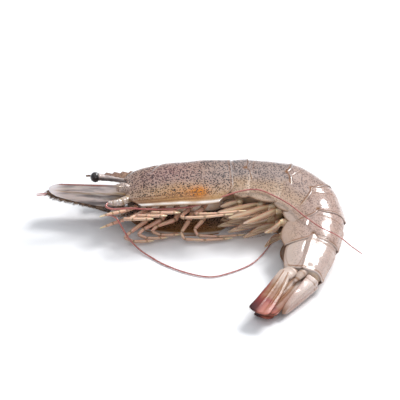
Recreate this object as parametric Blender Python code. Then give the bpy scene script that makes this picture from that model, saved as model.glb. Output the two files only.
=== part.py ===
"""Raw whiteleg shrimp, whole and uncooked, lying on its right side with the tail curled under.

The animal is modelled in its own axes: +X runs from the head to the tail, +Y to the back (dorsal)
and +Z to the left flank. The abdomen is a chain of rigid rings, each hinged on the one before, and
the whole animal is then tipped onto its right flank, so that the left flank faces up.
Lengths below are millimetres and angles degrees; meshes and curves are made in metres.
"""
import math

import bmesh
import bpy
from mathutils import Matrix, Vector

MM = 0.001
GAP = 0.3                    # clearance between touching solids
WIDEST = 6                   # the point of a shell ring where its back meets its side plate

# ---- Driving dimensions ----
CARAPACE_LENGTH = 34.5       # eye socket to the hinge of the first ring
CARAPACE_PITCH = 4.0         # how far the carapace points up, towards the back
SIDE_LEAN = 6.3              # the slim tail lies lower than the broad carapace
AXIS_HEIGHT = 8.1            # height of the axis origin over the table
ROSTRUM_REACH = 14.0         # horn in front of the eye sockets
ROSTRUM_TEETH = 8
ROSTRUM_HALF = 0.55          # half the horn's thickness
TOOTH_HEIGHT = 1.0
CREST_START = 12.0           # the horn's crest starts here on the carapace
SCALE_LENGTH = 26.0          # antennal scale
SCALE_WIDTH = 9.4
SCALE_THICKNESS = 1.3
TELSON_LENGTH = 16.3
EXOPOD_LENGTH = 20.7         # outer blade of the tail fan
ENDOPOD_LENGTH = 18.4        # inner blade of the tail fan
LEG_ROOTS_START = 8.0        # first walking leg, behind the eye socket
LEG_PITCH = 4.6
EYE_RADIUS = 1.8
RIM = 1.1                    # thickness of a free shell edge
TUCK = 4.5                   # how far a ring reaches into the ring before it
OVERHANG = 1.4               # how far a ring's rear edge reaches past its hinge
PLATE_LEAN = 0.24            # share of the half width by which a side plate's tip leans in
BELLY = 0.58                 # the belly's depth beside the side plate's
KEEL = 0.5                   # the belly's middle hangs this far under its sides
FILL = 0.3                   # a cutter is filled this far past the tips of its side plates

# Abdomen rings: length, bend to the ring before, half width, back height over the hinge,
# side-plate depth under the hinge, and how far the side plate's tip trails backwards.
RINGS = (
    (6.5, 1.0, 8.7, 10.0, 12.0, 0.5),
    (14.2, -12.0, 8.4, 10.2, 13.2, 1.5),
    (10.8, -38.0, 7.9, 10.2, 13.0, 3.0),
    (10.1, -36.0, 7.2, 9.7, 11.8, 3.6),
    (10.9, -21.0, 6.3, 9.2, 10.6, 5.5),
    (16.8, -3.5, 5.0, 8.6, 7.6, 0.0),
)
LAST_RING = len(RINGS) - 1
FAN_BEND = -20.5

# Carapace: place behind the eye socket, half width, back height and side depth.
CARAPACE_STATIONS = (
    (0.0, 5.0, 6.4, 9.4),
    (2.0, 6.0, 7.4, 10.6),
    (7.0, 7.4, 8.7, 11.8),
    (14.0, 8.6, 9.7, 12.9),
    (22.0, 9.1, 10.2, 13.4),
    (30.0, 9.1, 10.2, 13.0),
    (35.9, 8.9, 10.0, 10.6),
)

SHELL = (0.40, 0.36, 0.30)
SHELL_DARK = (0.30, 0.28, 0.25)
TAIL_RED = (0.35, 0.10, 0.08)
LEG_CREAM = (0.78, 0.52, 0.40)
ANTENNA_RED = (0.55, 0.20, 0.16)
EYE_BLACK = (0.01, 0.01, 0.012)

for old in list(bpy.data.objects):
    bpy.data.objects.remove(old, do_unlink=True)
shrimp = bpy.data.collections.new("raw_whiteleg_shrimp")
cutters = bpy.data.collections.new("cutters")
for collection in (shrimp, cutters):
    bpy.context.scene.collection.children.link(collection)


# ---- Helpers ----
def material(name, colour, roughness=0.35):
    """A plain wet-shell material, made once for each name."""
    made = bpy.data.materials.get(name)
    if made is None:
        made = bpy.data.materials.new(name)
        made.use_nodes = True
        shader = made.node_tree.nodes["Principled BSDF"]
        shader.inputs["Base Color"].default_value = (*colour, 1.0)
        shader.inputs["Roughness"].default_value = roughness
        shader.inputs["Metallic"].default_value = 0.0
    return made


def empty(name, parent=None, location=(0.0, 0.0, 0.0), turn=0.0):
    """An axis cross that carries a part: placed in mm, turned about the hinge axis Z."""
    cross = bpy.data.objects.new(name, None)
    shrimp.objects.link(cross)
    cross.parent = parent
    cross.location = Vector(location) * MM
    cross.rotation_euler = (0.0, 0.0, math.radians(turn))
    return cross


def loft(name, rings, parent, look, collection=shrimp, fold=None):
    """A closed solid through equal rings of points given in mm.

    An end cap is one flat face, or two that meet on the line from point number fold to the
    matching point of the other side.
    """
    mesh = bmesh.new()
    rows = [[mesh.verts.new(Vector(point) * MM) for point in ring] for ring in rings]
    count = len(rows[0])
    for front, rear in zip(rows, rows[1:]):
        for i in range(count):
            j = (i + 1) % count
            mesh.faces.new((front[i], front[j], rear[j], rear[i]))
    for row in (rows[0], rows[-1]):
        if fold is None:
            mesh.faces.new(row)
        else:
            mesh.faces.new(row[-fold:] + row[:fold + 1])
            mesh.faces.new(row[fold:count - fold + 1])
    bmesh.ops.recalc_face_normals(mesh, faces=mesh.faces)
    data = bpy.data.meshes.new(name)
    mesh.to_mesh(data)
    mesh.free()
    data.materials.append(look)
    solid = bpy.data.objects.new(name, data)
    collection.objects.link(solid)
    solid.parent = parent
    return solid


def cut(solid, cutter):
    """Take the cutter's space out of the solid."""
    cutter.hide_render = True
    cutter.display_type = "WIRE"
    modifier = solid.modifiers.new("clear_" + cutter.name, "BOOLEAN")
    modifier.operation = "DIFFERENCE"
    modifier.solver = "EXACT"
    modifier.object = cutter


def shell_ring(x, half_width, back, side, belly, trail, grow=0.0):
    """One cross section of a shell ring: an arched back, two hanging side plates, a belly.

    The points run from the middle of the back down the left side plate, up its inner face, over
    the belly and round the right side. The side plates lean in and their tips trail backwards.
    """
    half_width += grow
    back += grow
    side += grow
    belly += grow
    rim = RIM + 2.0 * grow
    left = []
    for step in range(7):
        angle = math.radians(15.0 * step)
        left.append((x, back * math.cos(angle), half_width * math.sin(angle)))
    for share in (0.35, 0.7, 1.0):
        left.append((x + trail * share, -side * share, half_width * (1.0 - PLATE_LEAN * share ** 2)))
    tip_x, tip_y, tip_z = left[-1]
    left.append((tip_x, tip_y, tip_z - rim))
    share = belly / side
    left.append((x + trail * share, -belly, half_width * (1.0 - PLATE_LEAN * share ** 2) - rim))
    share = (belly + KEEL) / side
    right = [(px, py, -pz) for px, py, pz in left[:0:-1]]
    return left + [(x + trail * share, -belly - KEEL, 0.0)] + right


# ---- The animal's axes: a chain of hinges, tipped onto the right flank ----
table = empty("table")
body = empty("body", table, (0.0, 0.0, AXIS_HEIGHT))
body.rotation_euler = (math.radians(SIDE_LEAN), 0.0, 0.0)
head = empty("head", body, (-25.3, 5.2, 0.0), CARAPACE_PITCH)
shell_look = material("shell", SHELL)
dark_look = material("shell_dark", SHELL_DARK)
red_look = material("tail_tips", TAIL_RED)
leg_look = material("legs", LEG_CREAM)
antenna_look = material("antennae", ANTENNA_RED)
eye_look = material("eyes", EYE_BLACK, 0.08)


# ---- Carapace with its horn ----
def carapace_rings(grow=0.0):
    rings = []
    for place, half_width, back, side in CARAPACE_STATIONS:
        belly = side + FILL if grow else side * 0.74
        ring_x = place + (grow if place > CARAPACE_LENGTH else 0.0)
        rings.append(shell_ring(ring_x, half_width, back, side, belly, 0.0, grow))
    return rings


carapace = loft("carapace", carapace_rings(), head, shell_look, fold=WIDEST)
carapace_space = loft("carapace_space", carapace_rings(GAP), head, dark_look, cutters, WIDEST)


def rostrum_outline():
    """Side view of the horn: eight teeth along the top, two under the tip."""
    top = []
    crest = CREST_START + ROSTRUM_REACH
    pitch = crest * 0.86 / ROSTRUM_TEETH
    for tooth in range(ROSTRUM_TEETH):
        x = CREST_START - tooth * pitch
        line = 9.6 + 0.25 * math.sin(math.pi * tooth / ROSTRUM_TEETH) - 0.055 * tooth
        top.append((x, line))
        top.append((x - pitch * 0.72, line + TOOTH_HEIGHT))
    under = [(-ROSTRUM_REACH, 9.4), (-ROSTRUM_REACH + 2.4, 8.7), (-ROSTRUM_REACH + 3.0, 8.0)]
    under += [(-ROSTRUM_REACH + 5.2, 7.9), (-ROSTRUM_REACH + 5.8, 7.2), (1.0, 5.4), (CREST_START, 6.0)]
    return top + under


rostrum_sides = [[(x, y, z) for x, y in rostrum_outline()] for z in (-ROSTRUM_HALF, ROSTRUM_HALF)]
rostrum = loft("rostrum_blade", rostrum_sides, head, shell_look, cutters)
rostrum.hide_render = True
rostrum.display_type = "WIRE"
join = carapace.modifiers.new("horn", "BOOLEAN")
join.operation = "UNION"
join.solver = "EXACT"
join.object = rostrum


# ---- Abdomen: six rings, each tucked into the one before ----
def abdomen_rings(number, grow=0.0):
    """Cross sections of one ring, from the tucked front to the overhanging rear edge."""
    length, _, half_width, back, side, trail = RINGS[number]
    last = number == LAST_RING
    narrow = 0.90
    rear_narrow = 0.80 if last else 0.985
    reach = length if last else length + OVERHANG
    rings = [
        shell_ring(-TUCK, half_width * narrow, back * narrow, side * 0.60, side * 0.55, 0.0, grow),
        shell_ring(-0.6, half_width * 0.97, back * 0.97, side * 0.62, side * 0.56, 0.0, grow),
    ]
    steps = 5
    for step in range(steps + 1):
        share = step / steps
        swell = 0.985 + 0.03 * math.sin(math.pi * share)
        taper = swell * (1.0 + (rear_narrow - 1.0) * share)
        lobe = 0.74 + 0.26 * math.sin(math.pi * (0.12 + 0.80 * share))
        x = 0.4 + (reach - 0.4) * share
        if step == steps:
            x += grow
        depth = side * lobe * taper
        belly = depth + FILL if grow else side * BELLY * taper
        rings.append(shell_ring(x, half_width * taper, back * taper, depth, belly, trail * lobe, grow))
    return rings


hinge = empty("hinge_1", head, (CARAPACE_LENGTH, 0.0, 0.0), RINGS[0][1])
before = [carapace_space]
chain = [hinge]
for number, ring in enumerate(RINGS):
    if number:
        hinge = empty(f"hinge_{number + 1}", chain[-1], (RINGS[number - 1][0], 0.0, 0.0), ring[1])
        chain.append(hinge)
    name = f"abdomen_segment_{number + 1}"
    segment = loft(name, abdomen_rings(number), hinge, shell_look, fold=WIDEST)
    for space in before[-2:]:
        cut(segment, space)
    if number < LAST_RING:
        space = loft(name + "_space", abdomen_rings(number, GAP), hinge, dark_look, cutters, WIDEST)
        before.append(space)
fan = empty("fan", chain[-1], (RINGS[-1][0], 0.0, 0.0), FAN_BEND)


# ---- Tail fan: the telson over two pairs of blades ----
def blade(name, half_width, thickness, parent, look, root, tip, across, point, widest=0.6):
    """A thin leaf-shaped plate from root to tip, lens-shaped across.

    root, tip and the sideways direction across are in the parent's axes; point is how slim the
    tip is beside the widest part, and widest is the share of the length where that part lies.
    """
    along = Vector(tip) - Vector(root)
    length = along.length
    along.normalize()
    normal = Vector(across).cross(along).normalized()
    sideways = along.cross(normal)
    rings = []
    steps = 9
    for step in range(steps + 1):
        share = step / steps
        if share < widest:
            width = half_width * (0.45 + 0.55 * math.sin(0.5 * math.pi * share / widest))
        else:
            fall = (share - widest) / (1.0 - widest)
            width = half_width * math.sqrt(1.0 - fall * fall * (1.0 - point * point))
        half_thick = 0.5 * thickness * (1.0 - 0.45 * share)
        ring = []
        for corner in range(10):
            angle = 2.0 * math.pi * corner / 10
            ring.append((length * share, half_thick * math.sin(angle), width * math.cos(angle)))
        rings.append(ring)
    leaf = loft(name, rings, parent, look)
    axes = Matrix((along, normal, sideways)).transposed().to_4x4()
    leaf.matrix_local = Matrix.Translation(Vector(root) * MM) @ axes
    return leaf


def leaning(roll, sign=1):
    """Sideways direction of a blade rolled from flat (0) to upright (90), outer edge down."""
    angle = math.radians(roll)
    return (0.0, -math.sin(angle), sign * math.cos(angle))


blade("telson", 3.0, 2.4, fan, shell_look,
      (-0.4, 3.8, 0.0), (TELSON_LENGTH - 0.4, 3.5, 0.2), (0.0, 0.0, 1.0), 0.3)
blade("uropod_exopod_left", 3.5, 1.2, fan, red_look,
      (2.7, -4.4, 3.4), (2.7 + EXOPOD_LENGTH, -1.6, 3.6), leaning(66), 0.5, 0.85)
blade("uropod_endopod_left", 2.6, 1.0, fan, shell_look,
      (1.2, -0.8, 1.4), (1.2 + ENDOPOD_LENGTH, -0.4, 1.4), leaning(75), 0.45)
blade("uropod_endopod_right", 2.6, 1.0, fan, shell_look,
      (1.2, -0.8, -0.7), (1.2 + ENDOPOD_LENGTH, 0.4, 0.3), leaning(82, -1), 0.45)
blade("uropod_exopod_right", 3.5, 1.1, fan, red_look,
      (2.7, -4.2, -2.3), (2.7 + EXOPOD_LENGTH, -1.6, -1.0), leaning(84, -1), 0.5, 0.85)


# ---- Head: eyes, antennal scales, antennules and antennae ----
def limb(name, path, parent, look, sides=8):
    """A closed tube along a path of (x, y, z, in-plane radius, sideways radius) in mm."""
    rings = []
    for index, (x, y, z, across, aside) in enumerate(path):
        near = path[max(index - 1, 0)]
        far = path[min(index + 1, len(path) - 1)]
        heading = Vector((far[0] - near[0], far[1] - near[1])).normalized()
        ring = []
        for corner in range(sides):
            angle = 2.0 * math.pi * corner / sides
            reach = across * math.cos(angle)
            ring.append((x - heading.y * reach, y + heading.x * reach, z + aside * math.sin(angle)))
        rings.append(ring)
    return loft(name, rings, parent, look)


def eye_path(sign):
    """The stalk, then the round eye on its end."""
    path = [(-GAP, 2.2, sign * 2.8, 1.1, 1.1), (-8.4, 3.6, sign * 3.9, 1.15, 1.15)]
    first, steps = 40, 7
    for step in range(steps):
        angle = math.radians(first + (172 - first) * step / (steps - 1))
        radius = EYE_RADIUS * math.sin(angle)
        x = -8.5 - EYE_RADIUS * (math.cos(math.radians(first)) - math.cos(angle))
        path.append((x, 3.7, sign * 4.0, radius, radius))
    return path


SIDES = (("left", 1), ("right", -1))
for side, sign in SIDES:
    limb(f"eye_{side}", eye_path(sign), head, eye_look, 10)
limb("antennule_left", [(-GAP, 0.0, 1.5, 1.5, 1.3), (-6.0, -1.0, 1.7, 1.3, 1.1),
                        (-13.0, -1.6, 2.0, 0.8, 0.7), (-14.2, -1.7, 2.1, 0.4, 0.4),
                        (-22.0, -2.6, 3.2, 0.35, 0.35), (-31.0, -4.0, 4.2, 0.25, 0.25)], head, dark_look)
limb("antennule_right", [(-GAP, 0.0, -1.5, 1.5, 1.3), (-6.0, -0.8, -1.6, 1.2, 1.0),
                         (-12.5, -1.2, -0.8, 0.7, 0.6), (-14.2, -1.3, -0.5, 0.4, 0.4),
                         (-22.0, -1.6, 1.9, 0.35, 0.35), (-31.0, -3.4, 3.0, 0.25, 0.25)], head, dark_look)
blade("antennal_scale_left", SCALE_WIDTH / 2, SCALE_THICKNESS, head, dark_look,
      (-0.5, -6.4, 3.6), (-0.5 - SCALE_LENGTH, -6.0, 6.2), (0.0, 0.36, 0.93), 0.35, 0.25)
blade("antennal_scale_right", 0.44 * SCALE_WIDTH, SCALE_THICKNESS, head, dark_look,
      (-0.5, -6.4, -4.2), (-0.5 - SCALE_LENGTH, 0.2, 1.2), (0.0, 0.9, -0.44), 0.35, 0.35)
limb("antenna_peduncle_left", [(-0.9, -9.0, 3.2, 1.2, 1.5), (-2.4, -9.9, 3.4, 1.6, 1.6),
                               (-4.6, -10.4, 3.8, 1.5, 1.5), (-6.0, -10.6, 4.0, 0.9, 0.9)],
     head, shell_look)
limb("antenna_peduncle_right", [(-0.8, -8.8, -0.6, 1.0, 1.1), (-2.4, -9.4, -0.5, 1.3, 1.3),
                                (-4.4, -9.7, -0.4, 1.3, 1.3), (-5.6, -9.8, -0.4, 0.8, 0.8)],
     head, shell_look)


# ---- Legs under the carapace ----
def mirrored(path, sign):
    return [(x, y, sign * z, across, aside) for x, y, z, across, aside in path]


for side, sign in SIDES:
    jaw_leg = [(3.4, -9.6, 1.7, 1.0, 1.0), (0.6, -11.2, 1.9, 0.9, 0.9), (-6.0, -13.6, 2.3, 0.8, 0.8),
               (-9.6, -15.2, 2.6, 0.5, 0.5)]
    limb(f"maxilliped_{side}", mirrored(jaw_leg, sign), head, leg_look)
    for pair in range(5):
        x = LEG_ROOTS_START + LEG_PITCH * pair
        y = -10.6 - 0.25 * pair
        if pair < 3:
            drop = 1.5 * (2 - pair)
            leg = [(x, y, 2.2, 1.0, 1.0), (x - 1.6, y - 1.8, 2.4, 0.8, 0.8),
                   (x - 7.6, y - 3.8 - drop, 3.0, 0.6, 0.6), (x - 9.4, y - 5.0 - drop, 4.2, 0.6, 0.6),
                   (x - 6.6, y - 6.2 - drop, 5.0, 0.55, 0.55), (x - 2.0, y - 6.5 - drop, 5.0, 0.5, 0.5),
                   (x + 0.4, y - 6.4 - drop, 4.9, 0.2, 0.2)]
        else:
            drop = 1.7 * (4 - pair)
            leg = [(x, y, 2.2, 1.0, 1.0), (x - 1.4, y - 2.0, 2.6, 0.8, 0.8),
                   (x - 4.2, y - 5.0 - drop, 3.6, 0.6, 0.6), (x - 3.2, y - 7.0 - drop, 4.8, 0.55, 0.55),
                   (x + 3.4, y - 7.6 - drop, 5.2, 0.5, 0.5), (x + 10.0, y - 7.2 - drop, 5.4, 0.4, 0.4),
                   (x + 13.0, y - 7.0 - drop, 5.4, 0.2, 0.2)]
        limb(f"leg_{pair + 1}_{side}", mirrored(leg, sign), head, leg_look)

# ---- Swimming legs, swept forward under the abdomen ----
# Where each pair's tips lie, in the body's axes.
PADDLE_TIPS = ((6.5, -6.0), (5.5, -9.0), (9.0, -11.8), (14.0, -14.6), (21.0, -19.2))
bpy.context.view_layer.update()
for pair, tip in enumerate(PADDLE_TIPS):
    length, _, _, _, depth, _ = RINGS[pair]
    to_body = body.matrix_world.inverted() @ chain[pair].matrix_world
    root = to_body @ (Vector((length * 0.45, -depth * 0.58 - 1.0, 0.0)) * MM) / MM
    down = to_body.to_3x3() @ Vector((0.0, -1.0, 0.0))
    elbow = root + down * 3.4
    reach = Vector((*tip, 0.0)) - elbow
    for side, sign in SIDES:
        path = [(*root.xy, sign * 3.0, 1.5, 1.3), (*elbow.xy, sign * 3.0, 1.3, 1.4)]
        for share, thin, wide in ((0.2, 0.8, 1.7), (0.45, 0.55, 1.9), (0.75, 0.45, 1.5), (1.0, 0.25, 0.4)):
            point = elbow + reach * share + down * 1.6 * math.sin(math.pi * share)
            path.append((point.x, point.y, sign * (3.0 - 0.5 * share), thin, wide))
        limb(f"pleopod_{pair + 1}_{side}", path, body, leg_look)


# ---- Antenna flagella ----
def smooth_route(points, pieces=3):
    """Points along a Catmull-Rom curve through the given ones."""
    ends = [points[0] * 2 - points[1]] + points + [points[-1] * 2 - points[-2]]
    route = []
    for a, b, c, d in zip(ends, ends[1:], ends[2:], ends[3:]):
        for piece in range(pieces):
            t = piece / pieces
            route.append(0.5 * (2 * b + (c - a) * t + (2 * a - 5 * b + 4 * c - d) * t ** 2
                                + (3 * b - a - 3 * c + d) * t ** 3))
    return route + [points[-1]]


def flagellum(name, points, thick, thin):
    """A long whip that tapers from its root to its tip, in the table's axes (mm)."""
    route = smooth_route([Vector(point) for point in points])
    curve = bpy.data.curves.new(name, "CURVE")
    curve.dimensions = "3D"
    curve.bevel_depth = MM
    curve.bevel_resolution = 2
    curve.use_fill_caps = True
    spline = curve.splines.new("POLY")
    spline.points.add(len(route) - 1)
    for index, (knot, point) in enumerate(zip(spline.points, route)):
        knot.co = (*(point * MM), 1.0)
        knot.radius = thick + (thin - thick) * index / (len(route) - 1)
    curve.materials.append(antenna_look)
    whip = bpy.data.objects.new(name, curve)
    shrimp.objects.link(whip)
    whip.parent = table


# Back along the left side, over the abdomen and off the back.
flagellum("antenna_flagellum_left",
          [(-31.0, -6.4, 12.2), (-31.6, -8.4, 12.0), (-29.2, -9.0, 11.4), (-23.8, -9.0, 11.7),
           (-17.0, -10.2, 12.2), (-10.3, -9.8, 12.1), (-3.6, -8.8, 12.2), (2.1, -7.6, 13.1),
           (8.1, -6.3, 14.9), (13.8, -4.2, 15.5), (19.2, -3.7, 15.6), (24.5, -6.3, 14.9),
           (29.7, -10.4, 14.1), (34.0, -15.8, 13.5), (38.4, -20.5, 12.8), (41.9, -22.1, 11.8),
           (45.5, -22.9, 10.0), (49.0, -25.0, 8.0), (52.6, -26.7, 6.0)], 0.34, 0.16)
# Down to the table in front of the animal and round to the side plates.
flagellum("antenna_flagellum_right",
          [(-30.7, -4.8, 6.1), (-31.2, -6.4, 7.0), (-30.2, -7.8, 7.9), (-28.2, -9.4, 7.8),
           (-26.0, -12.0, 5.2), (-23.6, -14.4, 2.5), (-20.2, -17.9, 1.0), (-16.2, -21.4, 0.45),
           (-11.8, -25.2, 0.4), (-4.5, -29.5, 0.4), (3.0, -31.6, 0.4), (9.5, -29.5, 0.4),
           (16.2, -25.2, 0.4), (20.3, -19.8, 0.4), (23.2, -14.2, 0.4), (25.7, -9.7, 0.35),
           (27.0, -6.0, 0.35)], 0.32, 0.15)


# ---- Resting on the table ----
def settle():
    """Press what would dip under the table flat against it, so that the animal lies on flats."""
    bpy.context.view_layer.update()
    for solid in shrimp.objects:
        if solid.type != "MESH":
            continue
        to_world = solid.matrix_world
        to_own = to_world.inverted()
        for vertex in solid.data.vertices:
            point = to_world @ vertex.co
            if point.z < 0.0:
                vertex.co = to_own @ Vector((point.x, point.y, 0.0))


def centre():
    """Shift the table so that the origin is under the middle of the animal's box."""
    graph = bpy.context.evaluated_depsgraph_get()
    corners = []
    for part in shrimp.objects:
        if part.type == "EMPTY":
            continue
        shaped = part.evaluated_get(graph)
        mesh = shaped.to_mesh()
        corners += [shaped.matrix_world @ vertex.co for vertex in mesh.vertices]
        shaped.to_mesh_clear()
    for axis in (0, 1):
        values = [corner[axis] for corner in corners]
        table.location[axis] = -0.5 * (min(values) + max(values))


settle()
centre()
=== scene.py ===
"""Raw whiteleg shrimp, whole and uncooked, lying on its right side on a pale table.

Lengths are millimetres and angles degrees in the animal's own axes: +X from head to tail, +Y to the
back and +Z to the left flank, which faces up. Each piece is modelled there and set down in metres.
"""
import math
import random

import bpy
import numpy as np
from mathutils import Matrix, Vector, noise


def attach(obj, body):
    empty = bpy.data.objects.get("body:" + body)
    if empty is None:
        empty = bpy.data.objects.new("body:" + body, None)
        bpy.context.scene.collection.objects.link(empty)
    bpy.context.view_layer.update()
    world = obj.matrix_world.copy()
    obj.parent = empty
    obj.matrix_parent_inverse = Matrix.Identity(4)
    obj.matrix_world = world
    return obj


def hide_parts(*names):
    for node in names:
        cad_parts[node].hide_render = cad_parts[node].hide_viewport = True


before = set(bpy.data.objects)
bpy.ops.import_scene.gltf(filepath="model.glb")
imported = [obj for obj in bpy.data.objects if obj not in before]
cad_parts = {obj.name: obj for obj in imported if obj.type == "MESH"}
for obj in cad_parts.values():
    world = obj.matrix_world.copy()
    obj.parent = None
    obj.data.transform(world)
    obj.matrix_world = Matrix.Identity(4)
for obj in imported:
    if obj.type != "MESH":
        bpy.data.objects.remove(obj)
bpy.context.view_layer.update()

# ---- Camera, table and lights ----
# A plain white table under soft studio light: one softbox behind the tail draws the long wet
# highlight, a broad one overhead and a white room fill the rest, and a weak one low in front
# reaches the legs.
bpy.ops.object.select_all(action="DESELECT")
LOOK_AT = Vector((0.00146, 0.03195, 0.0))
LOOK_DOWN = math.radians(35.0)
LOOK_DISTANCE = 0.52
away = Vector((0.0, -math.cos(LOOK_DOWN), math.sin(LOOK_DOWN)))
bpy.ops.object.camera_add(
    location=LOOK_AT + away * LOOK_DISTANCE, rotation=(math.pi / 2 - LOOK_DOWN, 0.0, 0.0))
camera = bpy.context.active_object
camera.data.lens = 133.7
camera.data.sensor_width = 36.0
camera.data.clip_start = 0.01
bpy.context.scene.camera = camera
bpy.context.scene.view_settings.view_transform = "Standard"

bpy.ops.mesh.primitive_plane_add(size=3.0, location=(0.0, 0.0, 0.0))
table = bpy.context.active_object
table.name = "table"
white = bpy.data.materials.new("white_table")
white.use_nodes = True
table_top = white.node_tree.nodes["Principled BSDF"].inputs
table_top["Base Color"].default_value = (0.95, 0.95, 0.96, 1.0)
table_top["Roughness"].default_value = 0.35
table.data.materials.append(white)

room = bpy.data.worlds.new("white_room")
room.use_nodes = True
room_light = room.node_tree.nodes["Background"].inputs
room_light["Color"].default_value = (0.88, 0.93, 1.0, 1.0)
room_light["Strength"].default_value = 0.44
bpy.context.scene.world = room
# azimuth from the camera's side, height angle, distance, width, height and power of each softbox
for name, azimuth, height, distance, wide, tall, power in (
        ("tail_softbox", 133.0, 47.0, 0.75, 0.3, 0.21, 5.0),
        ("top_softbox", 120.0, 82.0, 0.9, 1.6, 1.6, 4.0),
        ("front_fill", 15.0, 18.0, 1.0, 0.6, 0.6, 1.3)):
    turn, rise = math.radians(azimuth), math.radians(height)
    towards = Vector((math.sin(turn) * math.cos(rise), -math.cos(turn) * math.cos(rise), math.sin(rise)))
    bpy.ops.object.light_add(type="AREA", location=towards * distance)
    lamp = bpy.context.active_object
    lamp.name = name
    lamp.rotation_euler = towards.to_track_quat("Z", "Y").to_euler()
    lamp.data.shape = "RECTANGLE"
    lamp.data.size, lamp.data.size_y = wide, tall
    lamp.data.energy = power

# ---- The animal's axes ----
# Head, six rings and tail fan are a chain of hinges, and each piece is made in its own link's axes.
# The whole chain lies on the right flank, tipped a little towards the belly.
MM = 0.001
BODY_PLACE = (1.724, 19.38, 8.1)
SIDE_LEAN = 6.3
lying = (Matrix.Translation(Vector(BODY_PLACE) * MM) @ Matrix.Rotation(math.radians(SIDE_LEAN), 4, "X")
         @ Matrix.Scale(MM, 4))


def hinged(axes, along, across, bend):
    """The next link's axes: moved by (along, across) in mm and turned about the hinge pin."""
    return axes @ Matrix.Translation((along, across, 0.0)) @ Matrix.Rotation(math.radians(bend), 4, "Z")


HEAD_PLACE = (-25.3, 5.2)
HEAD_BEND = 4.0
head = hinged(lying, *HEAD_PLACE, HEAD_BEND)

# ---- Carapace ----
# One thin, wet, speckled shell over the head and thorax, open below, with a rolled lower rim and an
# orange liver showing through it. Grown in one piece and joined to the animal along its back.
CARAPACE_LENGTH = 34.5
OVERHANG = 1.4  # how far a shell's rear edge reaches over the next shell
WALL = 0.25
TABLE_GAP = 0.00002  # in metres: no point lies lower
LEAN = 0.24  # how far the hanging sides draw in below, as a share of the half width
SIDE_DROP = 2.9  # how far the shell's sides hang below the body
# place along the head, half width, back height and body depth
STATIONS = np.array((
    (0.0, 5.0, 6.4, 9.4), (2.0, 6.0, 7.4, 10.6), (7.0, 7.4, 8.7, 11.8), (14.0, 8.6, 9.7, 12.9),
    (22.0, 9.1, 10.2, 13.4), (30.0, 9.1, 10.2, 13.0), (35.9, 8.9, 10.0, 10.6)))
carapace_width, carapace_back, carapace_side = (
    np.poly1d(np.polyfit(STATIONS[:, 0], STATIONS[:, column], 4)) for column in (1, 2, 3))
carapace_side += SIDE_DROP


def hump(value, centre, width):
    """A smooth hill of height 1 at centre."""
    return math.exp(-((value - centre) / width) ** 2)


def ease(value, low, high):
    """A smooth step from 0 at low to 1 at high."""
    share = min(max((value - low) / (high - low), 0.0), 1.0)
    return share * share * (3.0 - 2.0 * share)


def fade(value, low, high):
    """A smooth step from 1 at low to 0 at high."""
    return 1.0 - ease(value, low, high)


def arch(turn, half_width, back, side, proud=0.0):
    """Height and sideways place on a shell's section: turn is -1 at the right lower edge, 0 on the
    back and 1 at the left lower edge, the round back ends half way, and proud lifts the surface."""
    reach, hand = abs(turn), math.copysign(1.0, turn)
    if reach < 0.5:
        angle = math.pi * reach
        return (back + proud) * math.cos(angle), hand * (half_width + proud) * math.sin(angle)
    drop = 2.0 * reach - 1.0
    return -side * drop, hand * (half_width * (1.0 - LEAN * drop * drop) + proud)


def skin(name, around, along, place, axes, stains=None, closed=False):
    """A grid whose points are set by place(u, v), in mm in the given axes; stains are painted on
    its points as numbers that the looks read, and a closed skin has its seam and poles merged."""
    bpy.ops.object.select_all(action="DESELECT")
    bpy.ops.mesh.primitive_grid_add(x_subdivisions=around, y_subdivisions=along, size=1.0)
    piece = bpy.context.active_object
    piece.name = name
    spots = [(point.co.x + 0.5, point.co.y + 0.5) for point in piece.data.vertices]
    places = [Vector(place(u, v)) for u, v in spots]
    for point, where in zip(piece.data.vertices, places):
        point.co = axes @ where
        point.co.z = max(point.co.z, TABLE_GAP)
    for stain, amount in (stains or {}).items():
        layer = piece.data.attributes.new(stain, "FLOAT", "POINT")
        amounts = [min(1.0, amount(u, v, where)) for (u, v), where in zip(spots, places)]
        layer.data.foreach_set("value", amounts)
    if closed:
        bpy.ops.object.mode_set(mode="EDIT")
        bpy.ops.mesh.select_all(action="SELECT")
        bpy.ops.mesh.remove_doubles(threshold=0.000001)
        bpy.ops.mesh.normals_make_consistent(inside=False)
        bpy.ops.object.mode_set(mode="OBJECT")
    return piece


def circle(u):
    """Cosine and sine of the place round a closed skin."""
    angle = 2.0 * math.pi * u
    return math.cos(angle), math.sin(angle)


def finish(piece, look, nodes=(), wall=0.0, softness=1):
    """Thicken an open skin inwards, round it off, give it its look and fix it to the animal."""
    bpy.ops.object.select_all(action="DESELECT")
    piece.select_set(True)
    bpy.context.view_layer.objects.active = piece
    if wall:
        thick = piece.modifiers.new("wall", "SOLIDIFY")
        thick.thickness = wall * MM
        thick.offset = -1.0
        bpy.ops.object.modifier_apply(modifier="wall")
    if softness:
        soft = piece.modifiers.new("soft", "SUBSURF")
        soft.levels = soft.render_levels = softness
        bpy.ops.object.modifier_apply(modifier="soft")
    bpy.ops.object.shade_smooth()
    piece.data.materials.clear()
    piece.data.materials.append(look)
    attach(piece, "root")
    if nodes:
        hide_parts(*nodes)
    return piece


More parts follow.
